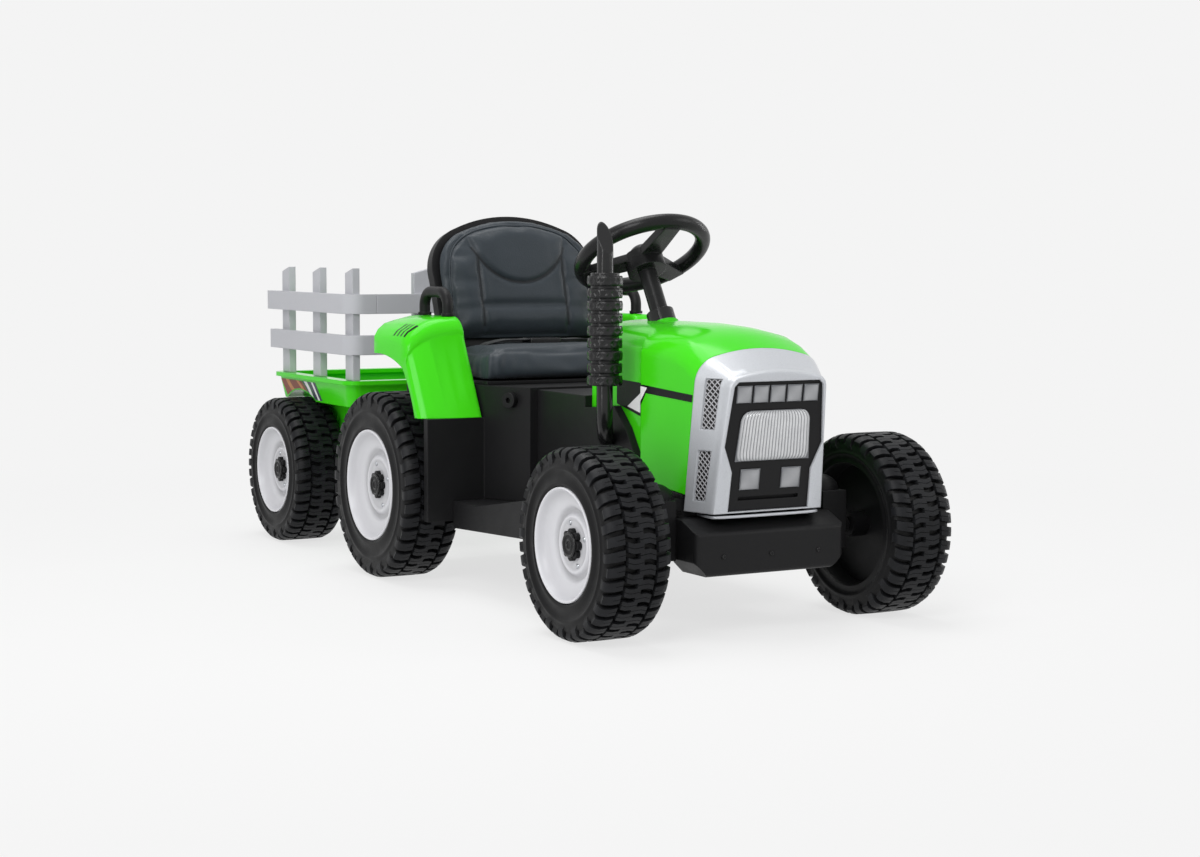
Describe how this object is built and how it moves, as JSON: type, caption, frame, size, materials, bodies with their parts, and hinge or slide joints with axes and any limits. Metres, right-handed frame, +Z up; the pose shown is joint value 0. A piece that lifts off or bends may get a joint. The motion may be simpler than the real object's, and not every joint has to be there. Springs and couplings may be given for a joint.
{
  "type": "ride-on tractor toy with trailer",
  "caption": "Battery ride-on toy tractor with steered front wheels, padded seat and a fenced trailer on a turning hitch.",
  "frame": {"origin": "on the ground under the middle of the bounding box", "axes": "+X forwards, +Y to the driver's left, +Z up"},
  "size_m": [1.2895, 0.5208, 0.5362],
  "materials": {
    "green_plastic": "glossy moulded plastic",
    "silver_plastic": "silver painted plastic",
    "black_plastic": "satin black moulded plastic",
    "tyre_plastic": "blow-moulded black tyre with fine grain",
    "white_plastic": "white moulded plastic",
    "grey_plastic": "light grey moulded plastic",
    "clear_plastic": "pale lamp lens over a silvered reflector",
    "red_plastic": "red push button",
    "leatherette": "dark blue-grey leatherette",
    "webbing": "black webbing",
    "steel": "zinc-plated steel"
  },
  "bodies": {
    "chassis": {"lower_body": "black_plastic", "seat_base": "black_plastic", "hood": "green_plastic", "grille_surround": "silver_plastic", "grille_insert": "black_plastic", "square_lamps": "clear_plastic", "centre_lamp": "clear_plastic", "front_bumper": "black_plastic", "front_axle_beam": "black_plastic", "exhaust_stack": "black_plastic", "fender_left": "green_plastic", "fender_right": "green_plastic", "grab_handle_left": "black_plastic", "grab_handle_right": "black_plastic", "seat_shell": "black_plastic", "seat_cushion": "leatherette", "seat_back_pad": "leatherette", "lap_belt": "webbing", "belt_buckle": "black_plastic", "dash_panel": "black_plastic", "steering_collar": "black_plastic", "rear_axle": "steel", "drive_gearbox_left": "black_plastic", "drive_gearbox_right": "black_plastic", "battery": "black_plastic", "charging_socket": "black_plastic", "hitch_pin": "steel"},
    "steering": {"steering_wheel": "black_plastic", "steering_rod": "steel"},
    "horn": {"horn_button": "black_plastic"},
    "tie_rod": {"tie_rod": "black_plastic"},
    "knuckle_left": {"knuckle_left": "black_plastic"},
    "knuckle_right": {"knuckle_right": "black_plastic"},
    "pedal": {"accelerator_pedal": "black_plastic"},
    "power_button": {"power_button": "red_plastic"},
    "direction_switch": {"direction_switch": "black_plastic"},
    "trailer": {"trailer_tub": "green_plastic", "trailer_frame": "black_plastic", "trailer_axle": "steel", "trailer_fence_left": "grey_plastic", "trailer_fence_right": "grey_plastic", "trailer_fence_front": "grey_plastic"},
    "front_wheel_left": {"front_tyre_left": "tyre_plastic", "front_rim_left": "white_plastic", "front_hub_cap_left": "black_plastic"},
    "front_wheel_right": {"front_tyre_right": "tyre_plastic", "front_rim_right": "white_plastic", "front_hub_cap_right": "black_plastic"},
    "rear_wheel_left": {"rear_tyre_left": "tyre_plastic", "rear_rim_left": "white_plastic", "rear_hub_cap_left": "black_plastic"},
    "rear_wheel_right": {"rear_tyre_right": "tyre_plastic", "rear_rim_right": "white_plastic", "rear_hub_cap_right": "black_plastic"},
    "trailer_wheel_left": {"trailer_tyre_left": "tyre_plastic", "trailer_rim_left": "white_plastic", "trailer_hub_cap_left": "black_plastic"},
    "trailer_wheel_right": {"trailer_tyre_right": "tyre_plastic", "trailer_rim_right": "white_plastic", "trailer_hub_cap_right": "black_plastic"}
  },
  "joints": [
    {"name": "knuckle_left_steer", "type": "hinge", "parent": "chassis", "child": "knuckle_left", "pos_m": [0.52315, 0.128, 0.1216], "axis": [0, 0, 1], "range_deg": [-20, 20]},
    {"name": "knuckle_right_steer", "type": "hinge", "parent": "chassis", "child": "knuckle_right", "pos_m": [0.52315, -0.128, 0.1216], "axis": [0, 0, 1], "range_deg": [-20, 20]},
    {"name": "tie_rod_slide", "type": "slide", "parent": "chassis", "child": "tie_rod", "axis": [0, 1, 0], "range_m": [-0.019, 0.019]},
    {"name": "steering_turn", "type": "hinge", "parent": "chassis", "child": "steering", "pos_m": [0.33175, 0, 0.391], "axis": [-0.515, 0, 0.8572], "range_deg": [-35.2, 35.2]},
    {"name": "horn_press", "type": "slide", "parent": "steering", "child": "horn", "axis": [0.515, 0, -0.8572], "range_m": [0, 0.003], "stiffness_N_per_m": 400, "springref_m": -0.002},
    {"name": "pedal_press", "type": "hinge", "parent": "chassis", "child": "pedal", "pos_m": [0.27515, -0.145, 0.1522], "axis": [0, 1, 0], "range_deg": [0, 10], "stiffness_Nm_per_rad": 2, "springref_deg": -5.73},
    {"name": "power_press", "type": "slide", "parent": "chassis", "child": "power_button", "axis": [1, 0, 0], "range_m": [0, 0.003], "stiffness_N_per_m": 400, "springref_m": -0.002},
    {"name": "direction_rock", "type": "hinge", "parent": "chassis", "child": "direction_switch", "pos_m": [0.28345, 0.034, 0.33], "axis": [0, 1, 0], "range_deg": [-8, 8]},
    {"name": "trailer_yaw", "type": "hinge", "parent": "chassis", "child": "trailer", "pos_m": [-0.23635, 0, 0.128], "axis": [0, 0, 1], "range_deg": [-20, 20]},
    {"name": "front_left_roll", "type": "hinge", "parent": "knuckle_left", "child": "front_wheel_left", "pos_m": [0.52315, 0.2154, 0.1216], "axis": [0, 1, 0], "continuous": true},
    {"name": "front_right_roll", "type": "hinge", "parent": "knuckle_right", "child": "front_wheel_right", "pos_m": [0.52315, -0.2154, 0.1216], "axis": [0, 1, 0], "continuous": true},
    {"name": "rear_left_roll", "type": "hinge", "parent": "chassis", "child": "rear_wheel_left", "pos_m": [-0.07935, 0.213, 0.1377], "axis": [0, 1, 0], "continuous": true},
    {"name": "rear_right_roll", "type": "hinge", "parent": "chassis", "child": "rear_wheel_right", "pos_m": [-0.07935, -0.213, 0.1377], "axis": [0, 1, 0], "continuous": true},
    {"name": "trailer_left_roll", "type": "hinge", "parent": "trailer", "child": "trailer_wheel_left", "pos_m": [-0.52555, 0.1931, 0.1191], "axis": [0, 1, 0], "continuous": true},
    {"name": "trailer_right_roll", "type": "hinge", "parent": "trailer", "child": "trailer_wheel_right", "pos_m": [-0.52555, -0.1931, 0.1191], "axis": [0, 1, 0], "continuous": true}
  ],
  "couplings": [
    {"joint": "knuckle_right_steer", "follows": "knuckle_left_steer", "ratio": 1},
    {"joint": "tie_rod_slide", "follows": "knuckle_left_steer", "m_per_rad": -0.05386},
    {"joint": "steering_turn", "follows": "knuckle_left_steer", "ratio": 1.75}
  ]
}
